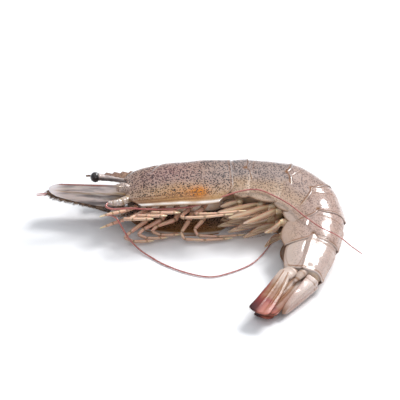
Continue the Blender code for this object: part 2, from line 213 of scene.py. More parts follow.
class Look:
    """A wet Principled material whose colour is mixed up step by step in nodes."""

    def __init__(self, name, roughness, coat=1.0, coat_roughness=0.06, subsurface=0.25, radius=1.5):
        self.material = bpy.data.materials.new(name)
        self.material.use_nodes = True
        self.nodes = self.material.node_tree.nodes
        self.links = self.material.node_tree.links
        self.shader = self.nodes["Principled BSDF"]
        surface = {"Roughness": roughness, "Coat Weight": coat, "Coat Roughness": coat_roughness,
                   "Subsurface Weight": subsurface, "Subsurface Radius": (1.0, 0.75, 0.5),
                   "Subsurface Scale": radius * MM, "IOR": 1.37, "Coat IOR": 1.45}
        for socket, value in surface.items():
            self.shader.inputs[socket].default_value = value
        self.place = self.nodes.new("ShaderNodeTexCoord").outputs["Object"]

    def link(self, source, socket):
        self.links.new(source, socket)

    def noise(self, size, detail=3.0, distortion=0.0, stretch=(1.0, 1.0, 1.0)):
        """Cloudy noise from 0 to 1 whose lumps are size mm across, drawn out along the axes by stretch."""
        mapping = self.nodes.new("ShaderNodeMapping")
        mapping.inputs["Scale"].default_value = [1.0 / amount for amount in stretch]
        self.link(self.place, mapping.inputs["Vector"])
        cloud = self.nodes.new("ShaderNodeTexNoise")
        cloud.inputs["Scale"].default_value = 1.0 / (size * MM)
        cloud.inputs["Detail"].default_value = detail
        cloud.inputs["Distortion"].default_value = distortion
        self.link(mapping.outputs["Vector"], cloud.inputs["Vector"])
        return cloud.outputs["Fac"]

    def cells(self, size):
        """Distance from the nearest of many scattered points, size mm apart."""
        spots = self.nodes.new("ShaderNodeTexVoronoi")
        spots.inputs["Scale"].default_value = 1.0 / (size * MM)
        self.link(self.place, spots.inputs["Vector"])
        return spots.outputs["Distance"]

    def stain(self, name):
        """The amount painted on the piece's points under that name."""
        reader = self.nodes.new("ShaderNodeAttribute")
        reader.attribute_name = name
        return reader.outputs["Fac"]

    def span(self, source, low, high, out_low=0.0, out_high=1.0):
        """Source stretched so that low..high becomes out_low..out_high, and no further."""
        ranger = self.nodes.new("ShaderNodeMapRange")
        ranger.interpolation_type = "SMOOTHSTEP"
        ends = {"From Min": low, "From Max": high, "To Min": out_low, "To Max": out_high}
        for socket, value in ends.items():
            ranger.inputs[socket].default_value = value
        self.link(source, ranger.inputs["Value"])
        return ranger.outputs["Result"]

    def combine(self, operation, first, second):
        """One arithmetic step on two sockets or numbers."""
        step = self.nodes.new("ShaderNodeMath")
        step.operation = operation
        for index, value in enumerate((first, second)):
            if isinstance(value, (int, float)):
                step.inputs[index].default_value = value
            else:
                self.link(value, step.inputs[index])
        return step.outputs["Value"]

    def mix(self, amount, under, over):
        """The colour over laid on the colour under, by amount."""
        mixer = self.nodes.new("ShaderNodeMix")
        mixer.data_type = "RGBA"
        for socket, value in (("Factor_Float", amount), ("A_Color", under), ("B_Color", over)):
            target = next(item for item in mixer.inputs if item.identifier == socket)
            if isinstance(value, tuple):
                target.default_value = (*value, 1.0)
            else:
                self.link(value, target)
        return next(item for item in mixer.outputs if item.identifier == "Result_Color")

    def painted(self, colour, *coats):
        """The colour under several coats, each an amount and a colour; an amount given as a word is
        the stain of that name."""
        for amount, over in coats:
            colour = self.mix(self.stain(amount) if isinstance(amount, str) else amount, colour, over)
        return colour

    def done(self, colour, relief=None, depth=0.1, roughness=None):
        """Connect the finished colour, and the relief as bumps depth mm deep."""
        self.link(colour, self.shader.inputs["Base Color"])
        if relief is not None:
            bump = self.nodes.new("ShaderNodeBump")
            bump.inputs["Distance"].default_value = depth * MM
            bump.inputs["Strength"].default_value = 1.0
            self.link(relief, bump.inputs["Height"])
            self.link(bump.outputs["Normal"], self.shader.inputs["Normal"])
            self.link(bump.outputs["Normal"], self.shader.inputs["Coat Normal"])
        if roughness is not None:
            self.link(roughness, self.shader.inputs["Roughness"])
        return self.material


shell = Look("wet_speckled_shell", 0.32, coat=0.65, subsurface=0.1, radius=0.4)
spread = shell.combine("SUBTRACT", 1.0, shell.stain("bare"))
nearest = shell.combine("ADD", shell.cells(0.58), shell.span(shell.noise(2.4), 0.2, 0.8, -0.06, 0.06))
gaps = shell.span(nearest, 0.42, 0.62, 0.0, 0.5)
specks = shell.span(nearest, 0.35, 0.42, 1.0, 0.0)
dust = shell.span(shell.cells(0.34), 0.2, 0.45, 0.4, 0.0)
colour = shell.mix(shell.span(shell.noise(9.0), 0.35, 0.65), (0.245, 0.13, 0.08), (0.215, 0.12, 0.1))
colour = shell.painted(
    colour,
    (shell.span(shell.noise(3.0), 0.45, 0.75, 0.0, 0.6), (0.38, 0.235, 0.15)),
    ("violet", (0.22, 0.085, 0.09)),
    ("grey", (0.18, 0.145, 0.14)),
    ("yellow", (0.44, 0.235, 0.05)),
    ("rosy", (0.56, 0.35, 0.28)),
    # pale: the shell's own pale edges and plates, plus painted light in two places: a highlight band down
    # the telson's side and the lifted lower plates of the first three rings
    ("pale", (0.66, 0.56, 0.51)),
    (shell.combine("MULTIPLY", gaps, spread), (0.54, 0.39, 0.32)),
    ("orange", (0.62, 0.195, 0.001)),
    (shell.combine("MULTIPLY", dust, spread), (0.17, 0.12, 0.1)),
    (shell.combine("MULTIPLY", specks, spread), (0.022, 0.016, 0.018)),
    ("brown", (0.22, 0.09, 0.03)),
    # white: the pale rear lips of the shells, and a painted highlight on the carapace's lower rim
    ("white", (0.84, 0.8, 0.76)))
shell_gloss = shell.span(shell.noise(2.5), 0.3, 0.7, 0.22, 0.42)
shell_look = shell.done(colour, shell.noise(5.0, 1.0), 0.26, shell_gloss)
GROOVES = (0.865, 0.905, 0.94)  # how far down the flank each of the lengthwise grooves runs


def carapace_edge(turn):
    """Front and rear ends of the shell at that turn: eye notch, spine and rounded lower corners."""
    reach = abs(turn)
    front = 1.8 * hump(reach, 0.27, 0.07) - 0.9 * hump(reach, 0.42, 0.03) - 0.8 * hump(reach, 0.74, 0.1)
    front += 4.4 * ease(reach, 0.8, 1.0) ** 1.6
    rear = CARAPACE_LENGTH + OVERHANG - 0.7 * hump(reach, 0.0, 0.12) - 5.5 * ease(reach, 0.76, 1.0) ** 2
    return front, rear


def near_groove(x, reach, width):
    """How near a point is to one of the grooves, which slant a little and end before the rear."""
    return sum(hump(reach, line - 0.0011 * (x - 4.0), width) for line in GROOVES) * fade(x, 22.0, 30.0)


def carapace_relief(x, reach):
    """Height of the furrows and swellings of the carapace over its plain form, in mm."""
    neck_furrow = -0.45 * hump(x, 14.0 - 16.0 * (reach - 0.1), 0.9)
    neck_furrow *= ease(reach, 0.06, 0.16) * fade(reach, 0.44, 0.52)
    swelling = 0.35 * hump(x, 15.0, 5.0) * hump(reach, 0.6, 0.12)
    grooves = -0.2 * near_groove(x, reach, 0.011) * ease(x, 1.0, 5.0)
    rim = 0.26 * hump(reach, 0.985, 0.022)
    spine = 0.55 * hump(x, 8.2, 1.1) * hump(reach, 0.53, 0.022)
    return neck_furrow + swelling + grooves + rim + spine


def carapace_place(u, v):
    turn = 2.0 * u - 1.0
    front, rear = carapace_edge(turn)
    x = front + (rear - front) * v
    uneven = 0.22 * noise.noise(Vector((x * 0.16, turn * 4.0, 3.7)))
    proud = carapace_relief(x, abs(turn)) + uneven
    y, z = arch(turn, carapace_width(x), carapace_back(x), carapace_side(x), proud)
    return x, y, z


def flank(u):
    """How far down either flank a shell's point is: 0 on the back, 1 at the lower edge."""
    return abs(2.0 * u - 1.0)


def liver(p):
    """How strongly the orange liver shows through the shell: a spot with a broad glow before it."""
    spot = 1.05 * math.exp(-((p.x - 24.0) / 2.8) ** 2 - ((p.y + 11.2) / 2.1) ** 2)
    return min(1.0, spot + 0.42 * math.exp(-((p.x - 19.0) / 7.0) ** 2 - ((p.y + 11.0) / 2.6) ** 2))


carapace_stains = {
    "orange": lambda u, v, p: (1.0 if u > 0.5 else 0.3) * liver(p),
    "yellow": lambda u, v, p: (
        0.85 * hump(p.x, 16.0, 13.0) * ease(flank(u), 0.64, 0.82)
        + 0.45 * hump(p.x, 31.0, 5.0) * ease(flank(u), 0.72, 0.9)),
    "violet": lambda u, v, p: 0.9 * hump(p.x, 14.0, 10.0) * hump(flank(u), 0.52, 0.18),
    "grey": lambda u, v, p: 0.85 * ease(p.x, 20.0, 36.0) * (1.0 - 0.8 * ease(flank(u), 0.62, 0.85)),
    "pale": lambda u, v, p: 0.45 * hump(flank(u), 0.975, 0.02) + 0.45 * hump(v, 0.0, 0.05),
    "bare": lambda u, v, p: 0.8 * ease(flank(u), 0.85, 0.93) + ease(v, 0.985, 1.0),
    "brown": lambda u, v, p: (
        0.75 * near_groove(p.x, flank(u), 0.009) + 0.5 * hump(v, 0.978, 0.007)
        + 0.4 * hump(flank(u), 0.925, 0.03) * fade(p.x, 8.0, 20.0)
        + 0.7 * hump(flank(u), 1.0, 0.008) + 0.6 * hump(v, 0.0, 0.012)),
    # white: a pale lip along the rear edge, and a painted highlight along the rolled lower rim, broken up
    # by noise like a wet streak
    "white": lambda u, v, p: (
        0.25 * ease(v, 0.99, 1.0)
        + hump(flank(u), 0.97, 0.017) * (0.75 + 0.8 * noise.noise(Vector((p.x * 0.25, 0.0, 5.0))))),
}
carapace = skin("carapace_shell", 256, 150, carapace_place, head, carapace_stains)
finish(carapace, shell_look, ("carapace",), WALL, softness=0)

# ---- Horn (rostrum) ----
# A thin toothed blade that grows out of the middle of the carapace's back: eight teeth above, two
# below, thick at its foot and sharp along the edges.
HORN_REACH = 14.0
HORN_START = 12.0
HORN_TEETH = 8
TOOTHED = 0.86  # share of the horn that bears teeth
TOOTH_RISE = 0.72  # share of a tooth that rises before it drops to the next


def horn_top(x):
    """Height of the horn's upper edge: saw teeth that lean forward."""
    run = (HORN_START - x) / (HORN_START + HORN_REACH)
    line = 9.75 + 0.3 * math.sin(math.pi * run) - 0.45 * run
    tooth = (run / TOOTHED * HORN_TEETH) % 1.0
    bite = 0.95 * (tooth / TOOTH_RISE if tooth < TOOTH_RISE else (1.0 - tooth) / (1.0 - TOOTH_RISE))
    return line + (bite if run < TOOTHED else 0.0) * ease(run, 0.0, 0.06)


def horn_foot(x):
    """Height of the horn's lower edge, with two teeth under the tip."""
    under = 9.3 - 3.6 * ease(x, -HORN_REACH, 1.0) + 0.5 * ease(x, 1.0, HORN_START)
    return under - 0.45 * hump(x, -11.2, 0.8) - 0.45 * hump(x, -8.6, 0.8)


def horn_place(u, v):
    """The horn is thickest at its foot and along a low keel on each side."""
    x = HORN_START - (HORN_START + HORN_REACH) * v
    top, foot = horn_top(x), horn_foot(x)
    aside, rise = circle(u)
    height = 0.5 * (top + foot) + 0.5 * (top - foot) * rise
    half = 0.62 * (1.0 - 0.75 * ease(v, 0.5, 1.0))
    keel = 0.3 * hump(rise, -0.25, 0.2)
    beside = math.copysign(half * abs(aside) ** 0.8 + keel, aside)
    return x, height, beside if 0.0 < v < 1.0 else 0.0


horn = skin("horn", 24, 208, horn_place, head, {
    "brown": lambda u, v, p: 0.45 * ease(v, 0.3, 1.0) + 0.3 * hump(circle(u)[1], 1.0, 0.25),
    "bare": lambda u, v, p: 0.4 + 0.4 * v,
}, closed=True)
finish(horn, shell_look, softness=0)

# ---- Abdomen rings ----
# Six speckled shell rings, each arched over the back with a rounded plate hanging on both sides.
# Each tucks under the ring before it and turns on a small brown hinge spot in the middle of the flank.
# length, bend, half width, back height, side depth, trail of the side plate's tip
RINGS = (
    (6.5, 1.0, 8.7, 10.0, 12.0, 0.5),
    (14.2, -12.0, 8.4, 10.2, 13.2, 1.5),
    (10.8, -38.0, 7.9, 10.2, 13.0, 3.0),
    (10.1, -36.0, 7.2, 9.7, 11.8, 3.6),
    (10.9, -21.0, 6.3, 9.2, 10.6, 5.5),
    (16.8, -3.5, 5.0, 8.6, 7.6, 0.0),
)
# how rosy, grey, pale, yellow and bare of specks each ring is
RING_TINTS = (
    (0.0, 0.95, 0.05, 0.75, 0.2),
    (0.1, 0.9, 0.08, 0.7, 0.25),
    (0.35, 0.7, 0.1, 0.6, 0.35),
    (0.5, 0.5, 0.1, 0.35, 0.5),
    (0.55, 0.3, 0.2, 0.3, 0.6),
    (0.45, 0.15, 0.45, 0.3, 0.8),
)
LAST_RING = len(RINGS) - 1
FAN_BEND = -20.5
links = [hinged(head, CARAPACE_LENGTH, 0.0, RINGS[0][1])]
for ring, next_ring in zip(RINGS, RINGS[1:]):
    links.append(hinged(links[-1], ring[0], 0.0, next_ring[1]))
fan = hinged(links[-1], RINGS[-1][0], 0.0, FAN_BEND)
TUCK = 0.16  # share of a ring that is hidden under the one before it
TUCK_TURN = 14.0  # how much further than the bend the hidden part turns
SLIDE = 0.985  # a ring's size, as a share of the one that it slides under
PLATE_DROP = 1.3  # how much deeper the first three rings' side plates hang


def lobe(share):
    """How far a side plate hangs at a share of its ring's length: less towards both ends."""
    return 0.74 + 0.26 * math.sin(math.pi * (0.12 + 0.8 * share))


def ring_size(number, share):
    """Half width, back height and side depth of a ring at a share of its length: the back end is
    just wide enough to slide over the next ring."""
    _, _, half_width, back, side, _ = RINGS[number]
    if number == LAST_RING:
        rear_width, rear_back = 0.84 * half_width, 0.76 * back
    else:
        rear_width, rear_back = SLIDE * RINGS[number + 1][2] + 0.1, SLIDE * RINGS[number + 1][3] + 0.06
    swell = 0.1 * math.sin(math.pi * share)
    return (SLIDE * half_width * (1.0 - share) + rear_width * share + swell,
            SLIDE * back * (1.0 - share) + rear_back * share + swell,
            (side + PLATE_DROP * (number < 3)) * lobe(share) * (1.0 - 0.02 * share))


def ring_place(number):
    """The place function of one ring's skin."""
    length, bend, _, _, _, trail = RINGS[number]
    last = number == LAST_RING

    def place(u, v):
        turn = 2.0 * u - 1.0
        reach = abs(turn)
        rear = length + (-0.9 if last else OVERHANG - 1.0 * hump(reach, 0.5, 0.06))
        if last:
            rear += 0.5 * hump(reach, 0.0, 0.1) - 0.5 * hump(reach, 0.25, 0.1)
        run = max(0.0, (v - TUCK) / (1.0 - TUCK))
        x = rear * run
        share = min(1.0, run)
        half_width, back, side = ring_size(number, share)
        step = -0.06 * fade(x, 1.6, 2.6) - 0.12 * hump(x, 2.2, 0.3)
        step *= fade(reach, 0.46, 0.6)
        keel = (0.45 if number >= 3 else 0.0) * hump(reach, 0.0, 0.035) * ease(x, 1.5, 4.0)
        lip = 0.1 * ease(run, 0.9, 0.955) - 0.2 * ease(run, 0.97, 1.0)
        rim = -0.12 * hump(reach, 1.0, 0.03)
        furrow = -0.25 * hump(reach, 0.6, 0.03) * hump(share, 0.35, 0.22)
        side_keel = 0.4 * hump(reach, 0.5, 0.035) if last else 0.0
        uneven = 0.2 * noise.noise(Vector((x * 0.2, turn * 3.4, 11.0 * number + 2.0)))
        y, z = arch(turn, half_width, back, side, step + keel + lip + rim + furrow + side_keel + uneven)
        drop = max(0.0, 2.0 * reach - 1.0)
        x += trail * lobe(share) * drop
        hidden = max(0.0, 1.0 - v / TUCK)
        if hidden and y > 0.0:
            angle = math.radians(hidden * (abs(bend) + TUCK_TURN))
            return (x - y * math.sin(angle), y * (1.0 - 0.015 * hidden) * math.cos(angle),
                    z * (1.0 - 0.04 * hidden))
        return x - 2.4 * hidden * ease(drop, 0.0, 0.3), y * (1.0 - 0.1 * hidden), z * (1.0 - 0.05 * hidden)
    return place


def ring_stains(number):
    """Where each ring is rosy, grey, pale, yellow, bare, brown or white."""
    length = RINGS[number][0]
    rosy, grey, pale, yellow, bare = RING_TINTS[number]
    # Every ring grows paler towards its lower edge, the shell's own thin-edge paleness; on the first three
    # rings the larger amount is painted light that lifts their shaded side plates.
    pale_edge_and_painted_light = 0.35 if number < 4 else 0.1
    last = number == LAST_RING

    def oval(u, p):
        """1 along the outline of the last ring's oval side field, and less inside it."""
        return ((p.x / length - 0.5) / 0.46) ** 2 + ((flank(u) - 0.76) / 0.2) ** 2

    return {
        "rosy": lambda u, v, p: rosy * (1.0 - 0.7 * ease(flank(u), 0.5, 0.9)),
        "grey": lambda u, v, p: grey * (1.0 - 0.8 * ease(flank(u), 0.62, 0.85)),
        "pale": lambda u, v, p: (
            pale + pale_edge_and_painted_light * ease(flank(u), 0.7, 0.95) + 0.12 * last * fade(oval(u, p), 0.8, 1.0)),
        "yellow": lambda u, v, p: yellow * ease(flank(u), 0.58, 0.85),
        "bare": lambda u, v, p: bare + 0.35 * ease(flank(u), 0.75, 0.95) + ease(v, 0.965, 0.99),
        "brown": lambda u, v, p: (
            0.95 * hump(v, 0.95, 0.015) * fade(flank(u), 0.8, 1.0) + 0.8 * hump(flank(u), 0.995, 0.012)
            + 1.2 * hump(p.x, length - 0.5, 0.65) * hump(p.y, 0.0, 0.7)
            + 0.35 * hump(p.x, 2.2, 0.3) * fade(flank(u), 0.46, 0.6)
            + 0.4 * last * hump(oval(u, p), 1.0, 0.1)),
        "white": lambda u, v, p: 0.18 * ease(v, 0.97, 0.985) * (1.0 - hump(flank(u), 0.5, 0.03)),
    }


for number in range(len(RINGS)):
    ring = skin(f"ring_{number + 1}_shell", 192, 84, ring_place(number), links[number], ring_stains(number))
    finish(ring, shell_look, (f"abdomen_segment_{number + 1}",), WALL, softness=0)

# ---- Flesh and belly ----
# The pale muscle that fills the shells and shows between the side plates, drawn in at each joint,
# with a cross ridge between each pair of swimming legs.
flesh = Look("raw_flesh", 0.35, subsurface=0.5, radius=3.0)
colour = flesh.mix(flesh.span(flesh.noise(2.5), 0.35, 0.7), (0.66, 0.49, 0.36), (0.72, 0.58, 0.48))
colour = flesh.painted(colour, (flesh.span(flesh.noise(0.7), 0.55, 0.8, 0.0, 0.5), (0.45, 0.3, 0.16)))
flesh_look = flesh.done(colour, flesh.noise(1.2, 4.0), 0.25)
FLESH_FILL = 0.88  # the flesh's size, as a share of the shell around it
# each row of the flesh: axes, place along, half width, back height and belly depth
flesh_rows = [(head, x, carapace_width(x) * 0.92, carapace_back(x), carapace_side(x) * 0.7)
              for x in (1.6, 4.0, 8.0, 12.6, 17.2, 21.8, 26.4, 31.0)]
for number, (length, _, _, _, side, _) in enumerate(RINGS):
    for share, depth in ((0.1, 0.6), (0.42, 0.54), (0.6, 0.54), (0.9, 0.6)):
        half_width, back, _ = ring_size(number, share)
        flesh_rows.append((links[number], length * share, half_width, back, side * depth))
flesh_rows += [(links[-1], RINGS[-1][0] - 1.4, 4.45, 6.9, 6.0), (fan, -0.2, 4.3, 6.7, 5.6)]


def flesh_place(u, v):
    """One row of the flesh for each step along, drawn together to a point at both ends."""
    last = len(flesh_rows) - 1
    row = round(v * last)
    axes, x, half_width, back, depth = flesh_rows[row]
    rise, aside = circle(u)
    size = FLESH_FILL if 0 < row < last else 0.0
    y = rise * (back if rise > 0.0 else depth) * size
    return axes @ Vector((x, y, aside * half_width * size * (1.0 - 0.22 * max(0.0, -rise))))


belly = skin("flesh", 32, len(flesh_rows) - 1, flesh_place, Matrix.Identity(4), closed=True)
finish(belly, flesh_look, softness=2)

# ---- Legs ----
# Three pairs of nipper legs, two pairs of longer walking legs and the jaw legs: thin jointed tubes,
# cream and pink, each joint a narrow neck between swollen ends. They fold back under the thorax.
leg = Look("leg_shell", 0.3, subsurface=0.45, radius=1.0)
colour = leg.mix(leg.span(leg.noise(2.2), 0.35, 0.65), (0.84, 0.58, 0.4), (0.82, 0.5, 0.38))
colour = leg.painted(
    colour,
    ("red", (0.55, 0.2, 0.12)),
    ("cream", (0.92, 0.76, 0.48)),
    ("brown", (0.22, 0.13, 0.06)),
    (leg.span(leg.cells(0.5), 0.1, 0.25, 0.45, 0.0), (0.4, 0.16, 0.1)))
leg_look = leg.done(colour, leg.noise(0.7, 3.0), 0.1)


def along_route(knots, place):
    """A point on the smooth curve through the knots, at place counted in knots."""
    index = min(int(place), len(knots) - 2)
    t = place - index
    b, c = knots[index], knots[index + 1]
    a = knots[index - 1] if index else b * 2 - c
    d = knots[index + 2] if index + 2 < len(knots) else c * 2 - b
    cubic = (3 * b - a - 3 * c + d) * t ** 3
    return 0.5 * (2 * b + (c - a) * t + (2 * a - 5 * b + 4 * c - d) * t ** 2 + cubic)


def limb(name, path, axes, look, nodes=(), sides=12, rows=9, neck=0.25, stains=None, softness=1,
         bend=1.0):
    """A jointed tube along (x, y, z, in-plane radius, sideways radius) knots, drawn in by neck at
    each inner knot. It follows a smooth curve at bend 1 and straight lines at bend 0."""
    knots = [np.array(knot, float) for knot in path]
    spans = len(knots) - 1

    def place(u, v):
        spot = v * spans
        span = min(int(spot), spans - 1)
        straight = knots[span] + (knots[span + 1] - knots[span]) * (spot - span)
        here = along_route(knots, spot) * bend + straight * (1.0 - bend)
        near = along_route(knots, max(spot - 0.05, 0.0))
        far = along_route(knots, min(spot + 0.05, spans))
        heading = Vector((far - near)[:3]).normalized()
        aside = (Vector((0.0, 0.0, 1.0)) - heading * heading.z).normalized()
        across = aside.cross(heading)
        distance = abs(spot - round(spot))
        inner = 0.5 < spot < spans - 0.5
        size = 1.0 - (neck * hump(distance, 0.0, 0.06) - 0.14 * hump(distance, 0.15, 0.07)) * inner
        if v <= 0.0 or v >= 1.0:
            size = 0.0
        first, second = circle(u)
        return (Vector(here[:3]) + across * (here[3] * size * first)
                + aside * (here[4] * size * second))

    tube = skin(name, sides, rows * spans, place, axes, stains, closed=True)
    return finish(tube, look, nodes, softness=softness)


def mirrored(path, sign):
    """A limb's knots on the left side at sign 1 and on the right side at sign -1."""
    return [(x, y, sign * z, across, aside) for x, y, z, across, aside in path]


LEG_START = 8.0
LEG_PITCH = 4.6
LEG_SPANS = 6
SIDES = (("left", 1), ("right", -1))
# knots from a leg's root: along, across, distance from the middle and radius
NIPPER = ((0.0, 1.4, 2.2, 1.1), (-1.6, -1.8, 2.4, 0.85), (-7.6, -3.8, 3.0, 0.62), (-9.4, -5.0, 4.2, 0.6),
          (-6.6, -6.2, 5.0, 0.58), (-2.0, -6.5, 5.0, 0.5), (0.4, -6.4, 4.9, 0.16))
FINGER = ((-2.9, -6.1, 5.0, 0.34), (-1.6, -5.75, 5.0, 0.32), (-0.2, -6.0, 4.95, 0.12))
WALKER = ((0.0, 1.4, 2.2, 1.1), (-1.4, -2.0, 2.6, 0.85), (-4.2, -5.0, 3.6, 0.62), (-3.2, -7.0, 4.8, 0.56),
          (3.4, -7.6, 5.2, 0.5), (10.0, -7.2, 5.4, 0.4), (13.0, -7.0, 5.4, 0.16))


def leg_path(knots, pair, sign):
    """The path of a leg of that pair: the legs of each kind hang lower from pair to pair forwards."""
    x, y = LEG_START + LEG_PITCH * pair, -10.6 - 0.25 * pair
    drop = 1.5 * (2 - pair) if pair < 3 else 1.7 * (4 - pair)
    return [(x + along, y + across - (drop if across < -3.0 else 0.0), sign * z, radius, radius)
            for along, across, z, radius in knots]


def crosswise(u):
    """Place across a closed skin: 1 on the line where it starts and -1 opposite."""
    return circle(u)[0]


def joint_mark(v):
    """How near a point is to one of a leg's inner joints."""
    spot = v * LEG_SPANS
    return hump(abs(spot - round(spot)), 0.0, 0.05) * (0.5 < spot < LEG_SPANS - 0.5)


leg_stains = {
    "red": lambda u, v, p: 0.5 * hump(crosswise(u), 1.0, 0.35),
    "brown": lambda u, v, p: 0.55 * hump(crosswise(u), -1.0, 0.3) + 0.85 * joint_mark(v),
    "cream": lambda u, v, p: 0.9 * ease(v, 0.78, 0.97),
}
for side, sign in SIDES:
    jaw_leg = [(3.4, -9.6, 1.7, 0.9, 0.7), (0.6, -11.2, 1.9, 0.8, 0.6), (-3.0, -12.6, 2.1, 0.75, 0.5),
               (-6.4, -13.8, 2.4, 0.6, 0.45), (-9.8, -15.2, 2.6, 0.2, 0.2)]
    limb(f"jaw_leg_{side}", mirrored(jaw_leg, sign), head, leg_look, (f"maxilliped_{side}",),
         stains=leg_stains)
    for pair in range(5):
        limb(f"walking_leg_{pair + 1}_{side}", leg_path(NIPPER if pair < 3 else WALKER, pair, sign), head,
             leg_look, (f"leg_{pair + 1}_{side}",), stains=leg_stains, bend=0.35)
        if pair < 3:
            limb(f"pincer_finger_{pair + 1}_{side}", leg_path(FINGER, pair, sign), head, leg_look,
                 sides=8, neck=0.0, stains={"red": lambda u, v, p: 0.5})

# ---- Antennal scales ----
# A broad, thin, clear blade on each side of the head: a stiff straight rib along the upper edge that
# ends in a spine, streaked grey film below it, and a clumped brown fringe along the lower edge.
film = Look("streaked_film", 0.3, subsurface=0.3, radius=1.0)
streaks = film.span(film.noise(2.2, 4.0, 0.4, (7.0, 1.0, 1.0)), 0.4, 0.6)
light_lines = film.span(film.noise(0.8, 3.0, 0.2, (9.0, 1.0, 1.0)), 0.5, 0.72, 0.0, 0.7)
dark_lines = film.span(film.noise(0.9, 3.0, 0.2, (12.0, 1.0, 1.0)), 0.56, 0.72, 0.0, 0.6)
colour = film.painted(
    film.mix(streaks, (0.68, 0.56, 0.52), (0.17, 0.135, 0.13)),
    (light_lines, (0.62, 0.53, 0.46)),
    (dark_lines, (0.17, 0.15, 0.16)),
    ("clear", (0.95, 0.84, 0.84)),
    ("yellow", (0.4, 0.24, 0.1)),
    ("dark", (0.06, 0.045, 0.04)),
    ("rib", (0.26, 0.07, 0.045)),
    ("white", (0.85, 0.8, 0.76)))
film_look = film.done(colour, film.noise(1.0, 3.0, 0.0, (6.0, 1.0, 1.0)), 0.18)
bristle = Look("brown_bristles", 0.45, coat=0.3, subsurface=0.0)
colour = bristle.mix(bristle.span(bristle.noise(1.2), 0.35, 0.65), (0.1, 0.055, 0.035), (0.3, 0.18, 0.11))
bristle_look = bristle.done(colour)


def blade_axes(root, tip, across):
    """A blade's root, its run to the tip, and the directions along it, up from it and across it."""
    root = Vector(root)
    run = Vector(tip) - root
    heading = run.normalized()
    up = Vector(across).cross(heading).normalized()
    return root, run, heading, up, heading.cross(up)


def leaf(name, lie, outline, thickness, relief, axes, look, nodes=(), stains=None, around=48,
         along=56):
    """A thin closed blade that lies as its root, tip and across say. outline(v) gives the places of
    its two edges beside the root-tip line and relief(s, v) the heights of its lower and upper face,
    with s from -1 at the first edge to 1 at the second."""
    root, run, _, up, sideways = blade_axes(*lie)

    def place(u, v):
        s, lift = circle(u)
        first, second = outline(v)
        low, high = relief(s, v)
        body = 0.5 * thickness(v) * abs(lift) ** 0.7
        height = body + high if u < 0.5 else low - body
        if v <= 0.0 or v >= 1.0:
            height = low
        beside = 0.5 * (first + second) + 0.5 * (second - first) * s
        return root + run * v + sideways * beside + up * height

    piece = skin(name, around, along, place, axes, stains, closed=True)
    return finish(piece, look, nodes)


def fringe(name, roots, axes, look, radius=0.05):
    """Many short bristles, one for each (root, tip) pair in mm, joined into one piece."""
    bpy.ops.object.select_all(action="DESELECT")
    bpy.ops.mesh.primitive_cone_add(
        vertices=3, radius1=1.0, radius2=0.0, depth=1.0, location=(0.0, 0.0, 0.5))
    bpy.ops.object.transform_apply(location=True)
    hair = bpy.context.active_object
    points = np.array([point.co for point in hair.data.vertices])
    faces = [list(face.vertices) for face in hair.data.polygons]
    all_points, all_faces = [], []
    for root, tip in roots:
        root, tip = Vector(root), Vector(tip)
        line = tip - root
        turned = line.to_track_quat("Z", "Y")
        start = len(all_points)
        for x, y, z in points:
            all_points.append(axes @ (root + turned @ Vector((x * radius, y * radius, z * line.length))))
        all_faces += [[start + index for index in face] for face in faces]
    hair.data.clear_geometry()
    hair.data.from_pydata(all_points, [], all_faces)
    hair.name = name
    return finish(hair, look, softness=0)


def scale_edges(v):
    """Lower and upper edge of the blade: the upper one is straight and stiff up to its spine, the
    lower one bulges near the root and runs up to a rounded tip."""
    round_off = math.sqrt(max(0.0, 1.0 - (max(0.0, v - 0.84) / 0.16) ** 2.0))
    upper = 3.9 * ease(v, -0.25, 0.14) - 0.5 * v
    lower = (4.7 - 4.2 * v ** 1.7) * ease(v, -0.45, 0.12)
    apex = 1.3 * ease(v, 0.75, 1.0)
    return apex - (lower + apex) * round_off, apex + (upper - apex) * round_off


def scale_relief(s, v):
    """Lower and upper faces: edge rib, lengthwise folds and a soft camber."""
    camber = 0.7 * (1.0 - s * s) * math.sin(math.pi * min(1.0, v + 0.15))
    rib = 0.4 * hump(s, 0.93, 0.07) * fade(v, 0.86, 0.9)
    fold = 0.34 * hump(s, 0.4 - 0.45 * v, 0.07) * fade(v, 0.75, 0.98)
    fold -= 0.5 * hump(s, 0.18 - 0.45 * v, 0.09) * fade(v, 0.5, 0.85)
    waves = 0.1 * math.sin(13.0 * s + 2.0 * v) * (1.0 - v)
    return camber + 0.5 * fold, camber + rib + fold + waves


scale_stains = {
    "clear": lambda u, v, p: 0.95 * ease(v, 0.74, 0.97) + 0.25 * hump(crosswise(u), 0.75, 0.2),
    "rib": lambda u, v, p: hump(crosswise(u), 0.985, 0.09) * fade(v, 0.85, 0.88) * ease(v, 0.1, 0.4),
    "yellow": lambda u, v, p: (
        0.7 * hump(crosswise(u), 0.38 - 0.45 * v, 0.08) * fade(v, 0.8, 1.0) + 0.8 * fade(v, 0.02, 0.22)),
    "dark": lambda u, v, p: (
        0.85 * hump(crosswise(u), 0.16 - 0.45 * v, 0.09) * fade(v, 0.45, 0.75)
        + 0.5 * hump(crosswise(u), -0.8, 0.4) * (1.0 - v) ** 0.7),
    "white": lambda u, v, p: 0.4 * hump(crosswise(u), 0.28 - 0.45 * v, 0.04) * fade(v, 0.4, 0.7),
}
SCALE_LENGTH = 26.0
SCALES = {
    "left": ((-0.5, -6.4, 3.6), (-0.5 - SCALE_LENGTH, -6.0, 6.2), (0.0, 0.36, 0.93)),
    "right": ((-0.5, -6.4, -4.2), (-0.5 - SCALE_LENGTH, 0.2, 1.2), (0.0, 0.9, -0.44)),
}
SCALE_HAIRS = 520
SPINE_SPOT = 0.82
random.seed(7)
